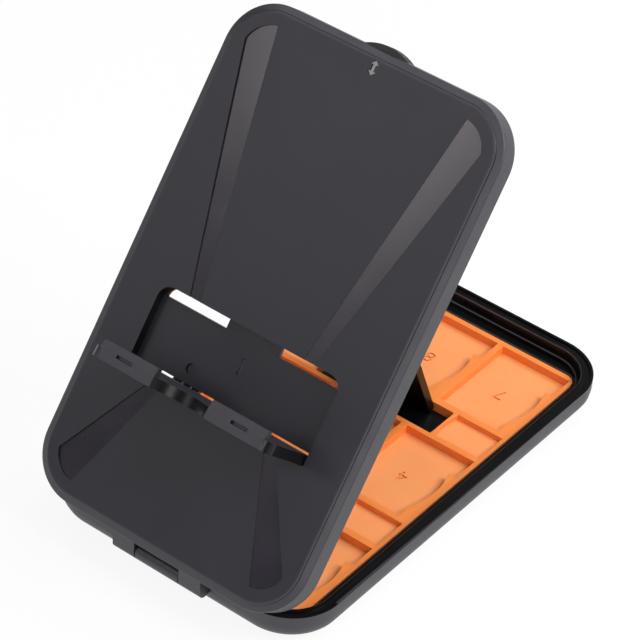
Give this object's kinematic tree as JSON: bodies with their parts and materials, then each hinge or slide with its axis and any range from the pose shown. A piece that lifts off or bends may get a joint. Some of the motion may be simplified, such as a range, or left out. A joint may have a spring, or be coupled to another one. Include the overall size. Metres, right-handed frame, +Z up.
{
  "type": "game card storage stand",
  "caption": "Flat hinged case for game and memory cards whose lid props open on a leg and holds a handheld console on a fold-out ledge.",
  "frame": {"origin": "middle of the base tray's flat underside, under the centre of the case outline", "axes": "+X along the hinge to the right as seen from the hinge side, +Y from the hinge edge to the back edge, +Z up"},
  "size_m": [0.0926, 0.1557, 0.1332],
  "materials": {
    "base_plastic": "satin outside, polished inside",
    "insert_plastic": "satin orange",
    "pin_steel": "plain wire",
    "pad_rubber": "matt",
    "lid_plastic": "fine satin texture",
    "ledge_plastic": "fine satin texture",
    "leg_plastic": "semi-gloss"
  },
  "bodies": {
    "base": {"base_tray": "base_plastic", "card_insert": "insert_plastic", "hinge_pin": "pin_steel", "foot_pad_1": "pad_rubber", "foot_pad_2": "pad_rubber", "foot_pad_3": "pad_rubber", "foot_pad_4": "pad_rubber"},
    "lid": {"lid_shell": "lid_plastic"},
    "ledge": {"console_ledge": "ledge_plastic"},
    "leg": {"prop_leg": "leg_plastic"}
  },
  "joints": [
    {"name": "lid_hinge", "type": "hinge", "parent": "base", "child": "lid", "pos_m": [0, -0.07629, 0.0076], "axis": [1, 0, 0], "range_deg": [0, 66.5]},
    {"name": "ledge_fold", "type": "hinge", "parent": "lid", "child": "ledge", "pos_m": [0, -0.05547, 0.0486], "axis": [-1, 0, 0], "range_deg": [0, 84.4]},
    {"name": "leg_fold", "type": "hinge", "parent": "lid", "child": "leg", "pos_m": [0, -0.01312, 0.09633], "axis": [-1, 0, 0], "range_deg": [0, 60.69]}
  ],
  "couplings": [
    {"joint": "leg_fold", "follows": "lid_hinge", "ratio": 0.91256}
  ]
}
